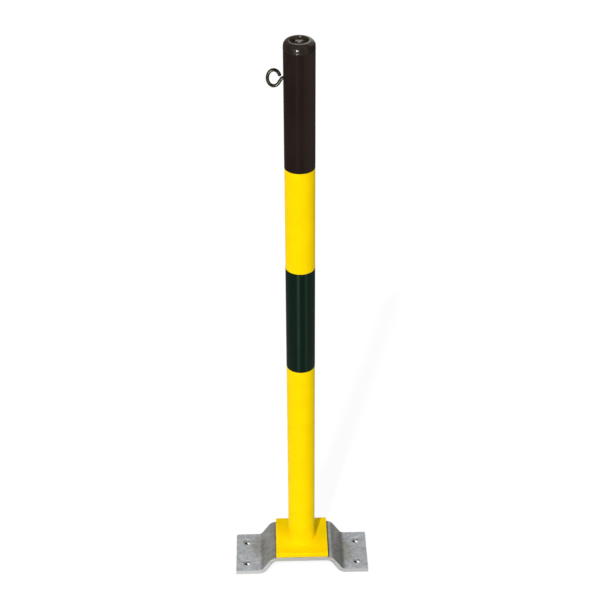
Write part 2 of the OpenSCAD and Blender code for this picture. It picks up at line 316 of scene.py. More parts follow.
def grainGroup():
    # two sizes of soft noise: Height for bumps, Shade for slight changes of colour
    group, given = newGroup("surfaceGrain", {
        "Position": ("NodeSocketVector", (0, 0, 0)), "Fine": ("NodeSocketFloat", 900.0),
        "Coarse": ("NodeSocketFloat", 60.0), "Coarse Share": ("NodeSocketFloat", 0.4)}, ["Height", "Shade"])
    fine = noise(group, given["Position"], given["Fine"], 3.0)[0]
    coarse = noise(group, given["Position"], given["Coarse"], 4.0)[0]
    both = mixValue(group, given["Coarse Share"], fine, coarse)
    place(group, "NodeGroupOutput", {"Height": both, "Shade": coarse})
    return group


def spangleGroup():
    # the crystal patches of hot-dip zinc: cells of two sizes, each with its own shade, under a cloudy film
    group, given = newGroup("zincSpangle", {
        "Position": ("NodeSocketVector", (0, 0, 0)), "Scale": ("NodeSocketFloat", 180.0),
        "Cloud": ("NodeSocketFloat", 45.0)}, ["Shade"])
    cloud = noise(group, given["Position"], given["Cloud"], 3.0)
    push = vectorMaths(group, "MULTIPLY", cloud["Color"], (0.006, 0.006, 0.006))
    moved = vectorMaths(group, "ADD", given["Position"], push)
    tones = []
    for finer, channel in ((1.0, 0), (2.3, 1)):
        scale = maths(group, "MULTIPLY", given["Scale"], finer)
        cells = place(group, "ShaderNodeTexVoronoi", {"Vector": moved, "Scale": scale}, feature="F1")
        tones.append(place(group, "ShaderNodeSeparateColor", {0: cells.outputs["Color"]}).outputs[channel])
    shade = mixValue(group, 0.45, mixValue(group, 0.4, *tones), cloud[0])
    place(group, "NodeGroupOutput", {"Shade": shade})
    return group


surfaceGrain, zincSpangle = grainGroup(), spangleGroup()


def grainOf(tree, position, fine, coarse, share):
    return place(tree, "ShaderNodeGroup", {"Position": position, "Fine": fine, "Coarse": coarse,
                                           "Coarse Share": share}, node_tree=surfaceGrain).outputs


def newMaterial(name, **plain):
    # a material with the values that are the same all over it, and the object's own coordinates
    material = bpy.data.materials.new(name)
    material.use_nodes = True
    tree = material.node_tree
    shader = tree.nodes["Principled BSDF"]
    for socket, value in plain.items():
        shader.inputs[socket].default_value = value
    return material, tree, shader, place(tree, "ShaderNodeTexCoord").outputs["Object"]


def dress(tree, shader, colour, roughness, height, strength, distance):
    # what changes over the surface: its colour, its roughness and its bumps
    bump = place(tree, "ShaderNodeBump", {"Height": height, "Strength": strength, "Distance": distance})
    for socket, value in (("Base Color", colour), ("Roughness", roughness), ("Normal", bump.outputs[0])):
        tree.links.new(value, shader.inputs[socket])


# Yellow coating

coatSpec = {"colour": (251, 214, 4), "deep": (247, 209, 3), "roughness": (0.47, 0.37), "peel": 0.12,
            "fine": 700.0, "seam": (26.8, 25.1), "seamTop": (52.4, 50.6), "seamShade": (243, 240, 238),
            "front": (-28.0, -40.0), "frontShade": (250, 247, 255)}


def yellowCoating(spec):
    material, tree, shader, position = newMaterial("yellowCoating", **{
        "IOR": 1.5, "Specular Tint": seen(255, 214, 60), "Specular IOR Level": 0.02})
    grain = grainOf(tree, position, spec["fine"], 35.0, 0.25)
    coat = mixColour(tree, ramp(tree, grain["Shade"], 0.3, 0.7), seen(*spec["deep"]), seen(*spec["colour"]))
    x, y, z = axes(tree, inMillimetres(tree, position))
    # painted shade: the weld's seam and the plate's front are painted darker where they catch more light
    seam = product(tree, ramp(tree, fromAxis(tree, x, y), *spec["seam"]), ramp(tree, z, *spec["seamTop"]))
    coat = mixColour(tree, seam, coat, seen(*spec["seamShade"]), "MULTIPLY")
    coat = mixColour(tree, ramp(tree, y, *spec["front"]), coat, seen(*spec["frontShade"]), "MULTIPLY")
    dress(tree, shader, coat, ramp(tree, grain["Shade"], 0.2, 0.8, *spec["roughness"]), grain["Height"],
          spec["peel"], 0.0004)
    return material


# Adhesive films

filmSpec = {
    "brown_black_film": {"name": "upperFilm", "colour": (33, 25, 22), "pale": (37, 29, 26),
                         "tint": (225, 196, 186), "faded": (52, 43, 40), "fadeFrom": (3.0, 22.0),
                         "level": 0.012, "roughness": (0.40, 0.48)},
    "green_black_film": {"name": "lowerFilm", "colour": (13, 28, 21), "pale": (16, 31, 24),
                         "tint": (175, 225, 185), "faded": (26, 40, 33), "fadeFrom": (6.0, 22.0),
                         "level": 0.052, "roughness": (0.38, 0.46)}}


def filmMaterial(spec):
    # the film was drawn upright: its fine upright scratches pull each glint out along the tube
    material, tree, shader, position = newMaterial(spec["name"], **{
        "IOR": 1.5, "Specular Tint": seen(*spec["tint"]), "Specular IOR Level": spec["level"],
        "Anisotropic": 1.0, "Anisotropic Rotation": 0.25})
    around = place(tree, "ShaderNodeTangent", direction_type="RADIAL", axis="Z")
    tree.links.new(around.outputs[0], shader.inputs["Tangent"])
    grain = grainOf(tree, position, 420.0, 18.0, 0.5)
    film = mixColour(tree, ramp(tree, grain["Shade"], 0.3, 0.7), seen(*spec["colour"]), seen(*spec["pale"]))
    # painted reflection: the film's +X side is painted paler, as a painted sheen
    x, _, _ = axes(tree, inMillimetres(tree, position))
    film = mixColour(tree, ramp(tree, x, *spec["fadeFrom"]), film, seen(*spec["faded"]))
    dress(tree, shader, film, ramp(tree, grain["Shade"], 0.2, 0.8, *spec["roughness"]), grain["Height"],
          0.03, 0.0003)
    return material


# Ground bracket's sizes, which its zinc follows too

barSpec = {"thick": 8.0, "bend": 10.0, "deckFlat": 92.0, "rise": 31.0, "slope": 57.0, "edge": 0.7,
           "corner": 0.9, "roundCorner": 4.5, "dowelY": 34.0, "dowelR": 4.5, "slotHalf": (28.5, 7.75),
           "slotMiddle": 13.08, "arcSteps": 12, "across": 15}

# Zinc

zincSpec = {"dark": (156, 159, 162), "mid": (173, 177, 181), "pale": (195, 198, 201), "roughness": (0.6, 0.4),
            "webs": ((-62.0, 14.0, 0.985), (67.0, 11.0, 0.77)), "webWarm": (200, 194, 184),
            "webLines": (0.91, 1.09), "webFade": (5.0, -3.0),
            "stains": (((-82.0, 14.0), (14.0, 28.0), (228, 224, 214)),
                       ((83.0, -2.0), (11.0, 30.0), (236, 231, 218))),
            "gaps": (((-47.0, -48.2), (-52.0, -48.2), (205, 202, 190)),
                     ((47.0, 48.2), (53.0, 48.2), (120, 112, 82))),
            "gapRise": (26.0, 30.0), "gapEnd": (49.0, 46.5), "boreEdge": (0.4, 0.1), "bore": (160, 160, 158),
            "cut": (48.15, 48.55), "cutBreak": (3.0, 5.0), "cutPale": (169, 171, 172), "cutLow": (184, 184, 183),
            "deck": (24.0, 31.0), "cutDeck": (238, 235, 226)}


def galvanised(spec):
    material, tree, shader, position = newMaterial("galvanised", **{"IOR": 1.5, "Specular IOR Level": 0.4})
    spangle = place(tree, "ShaderNodeGroup", {"Position": position, "Scale": 170.0, "Cloud": 60.0},
                    node_tree=zincSpangle).outputs["Shade"]
    low = mixColour(tree, ramp(tree, spangle, 0.2, 0.5), seen(*spec["dark"]), seen(*spec["mid"]))
    zinc = mixColour(tree, ramp(tree, spangle, 0.5, 0.8), low, seen(*spec["pale"]))
    x, y, z = axes(tree, inMillimetres(tree, position))
    # painted shade: the webs are darker than the feet, the right one much more so; warmer, with lines from the press
    narrow = vectorMaths(tree, "MULTIPLY", position, (1, 0.06, 1))
    lines = ramp(tree, noise(tree, narrow, 420.0, 2.0)[0], 0.3, 0.7)
    warm = seen(*spec["webWarm"])
    for middle, half, dim in spec["webs"]:
        mask = ramp(tree, awayFrom(tree, x, middle), *(half + fade for fade in spec["webFade"]))
        deep, high = ((*(dim * share * tone for tone in warm[:3]), 1) for share in spec["webLines"])
        zinc = mixColour(tree, mask, zinc, mixColour(tree, lines, deep, high), "MULTIPLY")
    # ragged brown-grey stains beside the bends
    ragged = product(tree, maths(tree, "SUBTRACT", spangle, 0.5), 0.35)
    for middles, sizes, tone in spec["stains"]:
        off = [maths(tree, "DIVIDE", maths(tree, "SUBTRACT", value, middle), size)
               for value, middle, size in zip((x, y), middles, sizes)]
        stain = ramp(tree, maths(tree, "ADD", fromAxis(tree, *off), ragged), 1.2, 0.5)
        zinc = mixColour(tree, stain, zinc, seen(*tone), "MULTIPLY")
    # painted shadow: a dark line in the gap beside the foot plate, most of it at the right, with a painted yellow
    # bounce
    edge, high = ramp(tree, awayFrom(tree, y), *spec["gapEnd"]), ramp(tree, z, *spec["gapRise"])
    for start, end, tone in spec["gaps"]:
        gapShadow = product(tree, ramp(tree, x, *start), ramp(tree, x, *end), high, edge)
        zinc = mixColour(tree, gapShadow, zinc, seen(*tone), "MULTIPLY")
    # painted shade: the bores of the four foot holes are painted a darker, duller grey
    near, full = (holeR + more for more in spec["boreEdge"])
    zinc = mixColour(tree, ramp(tree, fromHoles(tree, x, y), near, full), zinc, seen(*spec["bore"]))
    # the sheared faces at both sides are paler, partly bare steel and partly painted light from the front, and
    # palest in their lower half, where the bar broke away
    cut = ramp(tree, awayFrom(tree, y), *spec["cut"])
    level = ramp(tree, maths(tree, "MODULO", z, barSpec["rise"]), *spec["cutBreak"])
    sheared = mixColour(tree, level, seen(*spec["cutLow"]), seen(*spec["cutPale"]))
    # painted shade: the deck's sheared faces are darker and warmer, with a painted yellow bounce from the plate
    sheared = mixColour(tree, ramp(tree, z, *spec["deck"]), sheared, seen(*spec["cutDeck"]), "MULTIPLY")
    metal = product(tree, ramp(tree, spangle, 0.3, 0.9, 0.42, 0.55), ramp(tree, cut, 0.0, 1.0, 1.0, 0.2))
    tree.links.new(metal, shader.inputs["Metallic"])
    dress(tree, shader, mixColour(tree, cut, zinc, sheared), ramp(tree, spangle, 0.2, 0.8, *spec["roughness"]),
          grainOf(tree, position, 900.0, 120.0, 0.6)["Height"], 0.2, 0.0005)
    return material


# Enamel of the head

headSpec = {"colour": (37, 29, 24), "worn": (45, 37, 30), "dusty": (62, 55, 46), "recess": (14.75, 14.62),
            "nickAt": (1.9, 14.6, 1038.5), "nickR": (1.8, 0.8), "nick": (150, 146, 140),
            "rim": (15.8, 16.6), "rimForward": 1.6, "rimFrom": (1038.8, 1039.2), "rimBack": (6.0, -10.0),
            "rimPale": (122, 114, 104), "coat": (0.06, 1.0), "coatAcross": (-24.0, 24.0),
            "coatFrom": (1035.0, 1037.0), "litAt": -3.8, "litHalf": (9.0, 4.5), "litCoat": 0.24}


def headEnamel(spec):
    # thick enamel with a clear gloss on its shoulder; the recess's rim is pale, partly wear and partly painted
    # highlight, and dust lies in the recess
    material, tree, shader, position = newMaterial("headEnamel", **{
        "IOR": 1.5, "Specular IOR Level": 0.02, "Coat IOR": 1.62, "Coat Roughness": 0.13})
    grain = grainOf(tree, position, 600.0, 170.0, 0.5)
    enamel = mixColour(tree, ramp(tree, grain["Shade"], 0.45, 0.7), seen(*spec["colour"]), seen(*spec["worn"]))
    spot = inMillimetres(tree, position)
    x, y, z = axes(tree, spot)
    within = ramp(tree, fromAxis(tree, x, y), *spec["recess"])
    dust = product(tree, within, ramp(tree, grain["Shade"], 0.35, 0.62))
    enamel = mixColour(tree, dust, enamel, seen(*spec["dusty"]))
    # painted highlight: a small pale spot is painted on the rear wall just under the rim, as a glint
    fromPaintedGlint = vectorMaths(tree, "DISTANCE", spot, spec["nickAt"], "Value")
    enamel = mixColour(tree, ramp(tree, fromPaintedGlint, *spec["nickR"]), enamel, seen(*spec["nick"]))
    # the recess's rim is painted pale, partly wear and partly a painted highlight along its front edge, so the pale
    # ring lies on a circle drawn a little forward and fades towards the rear
    worn = fromAxis(tree, x, maths(tree, "ADD", y, spec["rimForward"]))
    outside = restOf(tree, within)
    rimWearAndHighlight = product(tree, inside(tree, worn, *spec["rim"]), ramp(tree, z, *spec["rimFrom"]), outside,
                   ramp(tree, y, *spec["rimBack"]))
    enamel = mixColour(tree, rimWearAndHighlight, enamel, seen(*spec["rimPale"]))
    # the clear gloss is whole on the shoulder's right and thin at the left of the front, and worn off elsewhere
    crown = product(tree, ramp(tree, z, *spec["coatFrom"]), ramp(tree, x, *spec["coatAcross"], *spec["coat"]))
    front = ramp(tree, awayFrom(tree, x, spec["litAt"]), *spec["litHalf"], 0.0, spec["litCoat"])
    gloss = product(tree, maths(tree, "MAXIMUM", crown, front), outside)
    tree.links.new(gloss, shader.inputs["Coat Weight"])
    dress(tree, shader, enamel, ramp(tree, grain["Shade"], 0.3, 0.7, 0.42, 0.5), grain["Height"], 0.08, 0.0004)
    return material


# Turned and drawn metals

metalSpec = {
    "blackened_wire": {"name": "blackenedWire", "dark": (9, 9, 6), "pale": (18, 18, 12), "metallic": 0.0,
                       "roughness": (0.16, 0.32), "coarse": 160.0, "level": 0.25, "tint": (244, 240, 200)},
    "dark_spindle": {"name": "darkSpindle", "dark": (92, 84, 80), "pale": (128, 120, 114), "metallic": 0.5,
                     "roughness": (0.34, 0.5), "coarse": 220.0},
    "bright_steel": {"name": "brightSteel", "dark": (150, 152, 156), "pale": (186, 188, 190), "metallic": 0.9,
                     "roughness": (0.27, 0.43), "coarse": 90.0},
    "bush_bronze": {"name": "bushBronze", "dark": (150, 112, 62), "pale": (184, 144, 84), "metallic": 0.9,
                    "roughness": (0.3, 0.46), "coarse": 90.0}}


def metalMaterial(name, dark, pale, metallic, roughness, coarse, level=0.5, tint=(255, 255, 255)):
    material, tree, shader, position = newMaterial(name, **{
        "IOR": 1.5, "Specular IOR Level": level, "Specular Tint": seen(*tint), "Metallic": metallic})
    grain = grainOf(tree, position, 1100.0, coarse, 0.5)
    colour = mixColour(tree, ramp(tree, grain["Shade"], 0.35, 0.65), seen(*dark), seen(*pale))
    dress(tree, shader, colour, ramp(tree, grain["Height"], 0.3, 0.7, *roughness), grain["Height"], 0.15, 0.0003)
    return material


finishes = {
    "yellow_coating": yellowCoating(coatSpec),
    **{slot: filmMaterial(spec) for slot, spec in filmSpec.items()},
    "galvanised_steel": galvanised(zincSpec),
    "black_head": headEnamel(headSpec),
    **{slot: metalMaterial(**spec) for slot, spec in metalSpec.items()}}
for nodeName, cadPiece in frame["nodes"].items():
    cadPiece.data.materials.clear()
    cadPiece.data.materials.append(finishes[slotOf[nodeName]])
print("finishes made:", len(finishes))


# Shapes as functions of two parameters: each is a pair of points and faces

def gridFaces(rows, columns, wrapRows=False, wrapColumns=False, keep=None):
    # every cell of a grid of points as a quad; the wraps join the last row or column to the first
    i, j = np.meshgrid(np.arange(rows if wrapRows else rows - 1),
                       np.arange(columns if wrapColumns else columns - 1), indexing="ij")
    below, beside = (i + 1) % rows, (j + 1) % columns
    cells = np.stack([i * columns + j, i * columns + beside, below * columns + beside, below * columns + j], -1)
    cells = cells if keep is None else cells[keep]
    return cells.reshape(-1, 4)


def filletedLoop(corners, radii, steps=6):
    # a closed outline with round corners: each corner becomes an arc that touches both of its sides
    at = np.array(corners, float)
    radii = np.broadcast_to(np.array(radii, float), len(at))[:, None]
    toBefore, toAfter = np.roll(at, 1, 0) - at, np.roll(at, -1, 0) - at
    toBefore /= np.linalg.norm(toBefore, axis=1)[:, None]
    toAfter /= np.linalg.norm(toAfter, axis=1)[:, None]
    half = np.arccos(np.clip((toBefore * toAfter).sum(1), -1, 1))[:, None] / 2
    middle = toBefore + toAfter
    middle /= np.linalg.norm(middle, axis=1)[:, None]
    centre = at + middle * radii / np.sin(half)
    first = at + toBefore * radii / np.tan(half) - centre
    last = at + toAfter * radii / np.tan(half) - centre
    sweep = (math.pi - 2 * half)[:, :, None]
    share = np.linspace(0, 1, steps)[None, :, None]
    arcs = (np.sin((1 - share) * sweep) * first[:, None] + np.sin(share * sweep) * last[:, None]) / np.sin(sweep)
    return centre[:, None] + arcs


def ring(count, start=0.0):
    return start + np.arange(count) * turn / count


def around(radius, height, angles):
    # a grid of points whose rows have a radius and a height, and whose columns have an angle about Z
    points = np.stack([radius * np.cos(angles), radius * np.sin(angles), height + 0 * angles], -1)
    return points.reshape(-1, 3)


def circle(x, y, radius, count=48):
    angles = ring(count)
    return np.stack([x + radius * np.cos(angles), y + radius * np.sin(angles)], -1)


def revolved(profile, count=160, closed=True, lying=False, at=(0, 0, 0)):
    # an outline of (radius, height) turned about Z, or about X where lying is true. An outline that is not
    # closed starts and ends on the axis
    points = around(profile[:, :1], profile[:, 1:], ring(count)[None])
    points = points[:, ::-1] if lying else points
    return points + np.array(at, float), gridFaces(len(profile), count, wrapRows=closed, wrapColumns=True)


def joined(*parts):
    # several shapes as one
    points, faces, start = [], [], 0
    for found, cells in parts:
        points.append(found)
        faces.extend((np.asarray(cell) + start).tolist() for cell in cells)
        start += len(found)
    return np.concatenate(points), faces


def makePiece(name, node, shape, sharp=35, merge=1e-6):
    # a shape becomes one closed mesh, with its doubles merged and its faces turned outwards. It stands for a CAD
    # node and has that node's body and finish
    points, faces = shape
    mesh = bpy.data.meshes.new(name)
    mesh.from_pydata((points * mm).tolist(), [], [list(map(int, face)) for face in faces])
    work = bmesh.new()
    work.from_mesh(mesh)
    bmesh.ops.remove_doubles(work, verts=work.verts, dist=merge)
    bmesh.ops.dissolve_degenerate(work, edges=work.edges, dist=1e-7)
    bmesh.ops.recalc_face_normals(work, faces=work.faces)
    work.to_mesh(mesh)
    openEdges = sum(1 for edge in work.edges if not edge.is_manifold)
    work.free()
    mesh.polygons.foreach_set("use_smooth", [True] * len(mesh.polygons))
    mesh.set_sharp_from_angle(angle=math.radians(sharp))
    mesh.materials.append(finishes[slotOf[node]])
    piece = bpy.data.objects.new(name, mesh)
    bpy.context.scene.collection.objects.link(piece)
    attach(piece, bodyOf[node])
    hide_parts(node)
    print("made", name, len(mesh.polygons), "faces,", openEdges, "open edges")


# Flat pieces with rounded edges

def insideLoop(points, loop):
    # a point is inside where a line to its right crosses the outline an odd number of times
    a, b = loop[None], np.roll(loop, -1, 0)[None]
    x, y = points[:, None, 0], points[:, None, 1]
    crosses = (a[..., 1] > y) != (b[..., 1] > y)
    rise = np.where(b[..., 1] == a[..., 1], 1, b[..., 1] - a[..., 1])
    return (crosses & (x < (b[..., 0] - a[..., 0]) * (y - a[..., 1]) / rise + a[..., 0])).sum(1) % 2 == 1


def flatSheet(loops, lines):
    # triangles that fill the outline in loops[0] less the holes in the other loops, with edges along the lines
    points = np.concatenate([*loops, *lines])
    edges, start = [], 0
    for loop in loops:
        edges += [(start + i, start + (i + 1) % len(loop)) for i in range(len(loop))]
        start += len(loop)
    for line in lines:
        edges += [(start + i, start + i + 1) for i in range(len(line) - 1)]
        start += len(line)
    found = delaunay_2d_cdt([Vector(point) for point in points.tolist()], edges, [], 1, 1e-7)
    flat = np.array([tuple(point) for point in found[0]])
    cells = np.array([face for face in found[2] if len(face) == 3])
    middles = flat[cells].mean(1)
    keep = insideLoop(middles, loops[0])
    for loop in loops[1:]:
        keep &= ~insideLoop(middles, loop)
    return flat, cells[keep]


def loopNormals(loop):
    # at each point of a counter-clockwise outline, the direction away from what it encloses
    ahead = np.roll(loop, -1, 0) - np.roll(loop, 1, 0)
    out = np.stack([ahead[:, 1], -ahead[:, 0]], -1)
    return out / np.linalg.norm(out, axis=1)[:, None]


def softPlate(outline, holes, lines, thick, edge, lift, steps=4, guard=0.35):
    # a flat piece with rounded edges: two filled faces, joined round each outline by a wall with an arc at both
    # ends. lift(flat, height) gives the place in space of points that lie at a height over the flat's middle. A
    # guard is a second line at that distance inside the rounding, which keeps the flat faces' shading flat
    half = thick / 2
    arc = np.linspace(0, math.pi / 2, steps)
    inward = np.concatenate([edge * (1 - np.sin(arc)), edge * (1 - np.cos(arc))])
    height = np.concatenate([half - edge + edge * np.cos(arc), -half + edge - edge * np.sin(arc)])
    inner, parts, guards = [], [], []
    for number, loop in enumerate([outline, *holes]):
        side = loopNormals(loop) * (-1 if number == 0 else 1)
        wall = loop[None] + side[None] * inward[:, None, None]
        levels = np.broadcast_to(height[:, None], wall.shape[:2])
        faces = gridFaces(len(inward), len(loop), wrapColumns=True)
        parts.append((lift(wall.reshape(-1, 2), levels.reshape(-1)), faces))
        inner.append(wall[0])
        if guard:
            line = loop + side * (edge + guard)
            guards.append(np.concatenate([line, line[:1]]))
    flat, cells = flatSheet(inner, [*lines, *guards])
    parts.append((lift(flat, np.full(len(flat), half)), cells))
    parts.append((lift(flat, np.full(len(flat), -half)), cells[:, ::-1]))
    return joined(*parts)


def rectangle(halfX, halfY):
    return [(-halfX, -halfY), (halfX, -halfY), (halfX, halfY), (-halfX, halfY)]


# Ground bracket: a flat bar, laid out flat with its holes and then bent

def barLine(spec, halfLength):
    # stations along the bar's middle line from the deck's middle to the foot's end: distance, and x, z and tilt
    slope, mid, count = math.radians(spec["slope"]), spec["bend"] + spec["thick"] / 2, spec["arcSteps"]
    drop = spec["rise"] - spec["thick"] - 2 * spec["bend"] + 2 * mid * math.cos(slope)
    footX = spec["deckFlat"] / 2 + 2 * mid * math.sin(slope) + drop / math.tan(slope)
    tilts = np.linspace(0, slope, count + 1)
    deckArc = np.stack([spec["deckFlat"] / 2 + mid * np.sin(tilts),
                        spec["rise"] - spec["bend"] + mid * np.cos(tilts), tilts], -1)
    footArc = np.stack([footX - mid * np.sin(tilts), spec["thick"] + spec["bend"] - mid * np.cos(tilts),
                        tilts], -1)[::-1]
    start, end = [[0, spec["rise"] + spec["thick"] / 2, 0]], [[halfLength, spec["thick"] / 2, 0]]
    stations = np.concatenate([start, deckArc, footArc, end])
    steps = np.hypot(np.diff(stations[:, 0]), np.diff(stations[:, 1]))
    steps[1:count + 1] = steps[count + 2:2 * count + 2] = mid * slope / count
    return np.concatenate([[0], np.cumsum(steps)]), stations


def deckSlot(spec):
    # a slot with round ends and a round middle that is wider than the slot
    halfL, halfW = spec["slotHalf"]
    meet = math.asin(halfW / spec["slotMiddle"])
    bow = np.linspace(meet, math.pi - meet, 25)
    middle = spec["slotMiddle"] * np.stack([np.cos(bow), np.sin(bow)], -1)
    bow = np.linspace(-math.pi / 2, math.pi / 2, 19)
    cap = np.stack([halfL - halfW + halfW * np.cos(bow), halfW * np.sin(bow)], -1)
    return np.concatenate([cap, middle, -cap, -middle])


def addBracket(spec):
    halfLength, halfWidth, _ = span("ground_bridge")[1]
    along, stations = barLine(spec, halfLength)
    edge, end = spec["edge"], along[-1]
    bends = np.concatenate([-along[-2:0:-1], along[1:-1]])
    corners = filletedLoop(rectangle(end, halfWidth), [spec["corner"]] * 3 + [spec["roundCorner"]], 7)
    front = np.stack([bends, np.full(len(bends), -halfWidth)], -1)
    rear = np.stack([bends[::-1], np.full(len(bends), halfWidth)], -1)
    outline = np.concatenate([corners[0], front, corners[1], corners[2], rear, corners[3]])
    holeU = end - (halfLength - holeAt[0])
    holes = [circle(sideX * holeU, sideY * holeAt[1], holeR) for sideX in (-1, 1) for sideY in (-1, 1)]
    holes += [circle(0, side * spec["dowelY"], spec["dowelR"], 36) for side in (-1, 1)]
    holes.append(deckSlot(spec))
    across = np.linspace(-halfWidth + edge, halfWidth - edge, spec["across"])
    lines = [np.stack([np.full(len(across), bend), across], -1) for bend in bends]

    def lift(flat, height):
        # the point on the bent middle line at that distance, then out along the bar's own normal
        x, z, tilt = (np.interp(np.abs(flat[:, 0]), along, stations[:, k]) for k in range(3))
        return np.stack([np.sign(flat[:, 0]) * (x + np.sin(tilt) * height), flat[:, 1],
                         z + np.cos(tilt) * height], -1)

    shape = softPlate(outline, holes, lines, spec["thick"], edge, lift)
    makePiece("groundBracket", "ground_bridge", shape, merge=2e-6)


addBracket(barSpec)

# Foot plate

plateSpec = {"edge": 0.9, "corner": 1.0, "boreR": 10.12}


def addFootPlate(spec):
    low, high = span("foot_plate")
    outline = filletedLoop(rectangle(high[0], high[0]), spec["corner"], 7).reshape(-1, 2)

    def lift(flat, height):
        return np.concatenate([flat, ((high[2] + low[2]) / 2 + height)[:, None]], 1)

    shape = softPlate(outline, [circle(0, 0, spec["boreR"], 64)], [], high[2] - low[2], spec["edge"], lift)
    makePiece("footPlate", "foot_plate", shape)


addFootPlate(plateSpec)

# Weld bead round the tube's foot

weldSpec = {"leg": 2.05, "ripples": 74, "ripple": 0.05, "wander": 0.15, "bulge": -0.22, "root": (-0.05, -0.02),
            "seed": 4}


def addWeld(spec):
    floorZ, tubeR = span("plate_weld")[0][2], span("post_tube")[1][0]
    angles = ring(10 * spec["ripples"])
    draw = np.random.default_rng(spec["seed"])
    waves = sum(draw.normal() / k * np.cos(k * angles + draw.uniform(0, turn)) for k in range(2, 12))
    waves *= spec["wander"] / np.abs(waves).max()
    scales = spec["ripple"] * (np.abs(np.sin(spec["ripples"] * angles / 2)) - 0.6)
    share = np.linspace(0, 1, 11)[:, None]
    # the face runs from the plate up to the tube; its legs wander, and scales and a slight hollow shape it
    leg = spec["leg"] + waves[None]
    swell = np.sin(math.pi * share) * (spec["bulge"] + scales[None])
    rootR, rootZ = (start + inset + 0 * leg for start, inset in zip((tubeR, floorZ), spec["root"]))
    radius = np.concatenate([rootR, tubeR + leg * (1 - share) + swell, rootR])
    height = np.concatenate([rootZ, floorZ + leg * share + swell, floorZ + leg])
    faces = gridFaces(len(radius), len(angles), wrapRows=True, wrapColumns=True)
    makePiece("plateWeld", "plate_weld", (around(radius, height, angles), faces), sharp=70)


addWeld(weldSpec)

# Tube and its two films

tubeSpec = {"wall": 2.6, "edge": 0.15, "film": 0.15, "filmEdge": 0.04, "lap": 0.12, "lapWidth": 7.0,
            "holeR": 2.8, "filmHoleR": 3.0}
# a wall's grid: its columns, the pitch of its rows, the points of each rounded edge, and half the window that is
# cut for a hole, in cells; behind is where a film's lap lies, at the rear
wallGrid = {"count": 192, "pitch": 45.0, "corner": 4, "window": 4, "behind": 2.5 * math.pi - 0.35}


def wallLevels(bottom, top, edge, holeZ=None, outer=0.0):
    # levels along a wall, with the rows of the hole's window among them
    rows = np.linspace(bottom + edge, top - edge, max(3, int((top - bottom) / wallGrid["pitch"])))[1:-1]
    if holeZ is None:
        return rows
    half = wallGrid["window"] * turn / wallGrid["count"] * outer
    near = holeZ + np.linspace(-half, half, 2 * wallGrid["window"] + 1)
    return np.sort(np.concatenate([rows[np.abs(rows - holeZ) > half + 3], near]))


def tubeWall(inner, outer, bottom, top, edge, hole=None, lap=0.0, lapWidth=1.0):
    # a wall turned about Z. A hole on the -X side cuts a square window into both faces, and rings that pass from
    # the window's outline to the hole's circle fill it. A lap lifts the outside where a film's end covers its start
    count, corner, half = (wallGrid[key] for key in ("count", "corner", "window"))
    holeZ, drillR = hole or (None, None)
    levels = wallLevels(bottom, top, edge, holeZ, outer)
    side = filletedLoop([(inner, bottom), (outer, bottom), (outer, top), (inner, top)], edge, corner)
    outside = np.stack([np.full(len(levels), outer), levels], -1)
    inside_ = np.stack([np.full(len(levels), inner), levels[::-1]], -1)
    profile = np.concatenate([side[0], side[1], outside, side[2], side[3], inside_])
    angles = ring(count, math.pi)
    past = (angles - wallGrid["behind"] + turn) % turn * outer
    raised = lap * np.clip(1 - past / lapWidth, 0, 1) ** 0.25 * (past < lapWidth)
    isOuter = (profile[:, :1] > (inner + outer) / 2).astype(float)
    points = around(profile[:, :1] + isOuter * raised[None], profile[:, 1:], angles)
    rows = len(profile)
    if hole is None:
        return points, gridFaces(rows, count, wrapRows=True, wrapColumns=True)
    window = half * turn / count
    first = 2 * corner + int(np.argmin(np.abs(levels - (holeZ - window * outer))))
    back = rows - 1 - (first - 2 * corner) - 2 * half
    i, j = np.meshgrid(np.arange(rows), np.arange(count), indexing="ij")
    windowRows = ((i >= first) & (i < first + 2 * half)) | ((i >= back) & (i < back + 2 * half))
    keep = ~(windowRows & ((j < half) | (j >= count - half)))
    parts = [(points, gridFaces(rows, count, wrapRows=True, wrapColumns=True, keep=keep))]
    steps, ones = np.arange(-half, half) / half, np.ones(2 * half)
    sides = ((steps, -ones), (ones, steps), (-steps, ones), (-ones, -steps))
    square = np.concatenate([np.stack(pair, -1) for pair in sides])
    way = square / np.linalg.norm(square, axis=1)[:, None]
    share = np.linspace(0, 1, 5)[:, None, None]
    rims = []
    for wall in (outer, inner):
        spread = (1 - share) * square * (window, window * outer) + share * way * (drillR / wall, drillR)
        turned, up = math.pi + spread[..., 0], holeZ + spread[..., 1]
        patch = np.stack([wall * np.cos(turned), wall * np.sin(turned), up], -1)
        parts.append((patch.reshape(-1, 3), gridFaces(len(patch), len(square), wrapColumns=True)))
        rims.append(patch[-1])
    parts.append((np.concatenate(rims), gridFaces(2, len(square), wrapColumns=True)))
    return joined(*parts)


def addTube(spec):
    low, high = span("post_tube")
    outer, holeZ = high[0], sum(span("eye_nut"))[2] / 2
    shape = tubeWall(outer - spec["wall"], outer, low[2], high[2], spec["edge"], (holeZ, spec["holeR"]))
    makePiece("postTube", "post_tube", shape)
    for name, node, hole in (("upperFilm", "upper_band", (holeZ, spec["filmHoleR"])),
                             ("lowerFilm", "lower_band", None)):
        low, high = span(node)
        shape = tubeWall(outer, outer + spec["film"], low[2], high[2], spec["filmEdge"], hole, spec["lap"],
                         spec["lapWidth"])
        makePiece(name, node, shape)


addTube(tubeSpec)

# Head

capSpec = {"outer": 24.3, "shoulder": 9.0, "recessR": 14.6, "recessDeep": 20.0, "rim": 0.6, "floor": 12.0,
           "plugR": 21.51, "plugDeep": 30.0, "skirtR": 17.01, "boreR": 10.12, "skirtBevel": 1.1,
           "bead": 0.26, "beadUp": 1.35, "beadHalf": 0.95, "lugFlank": 2.9, "lugR": (11.9, 18.0),
           "lugSunk": 0.4, "lugEdge": 0.2}


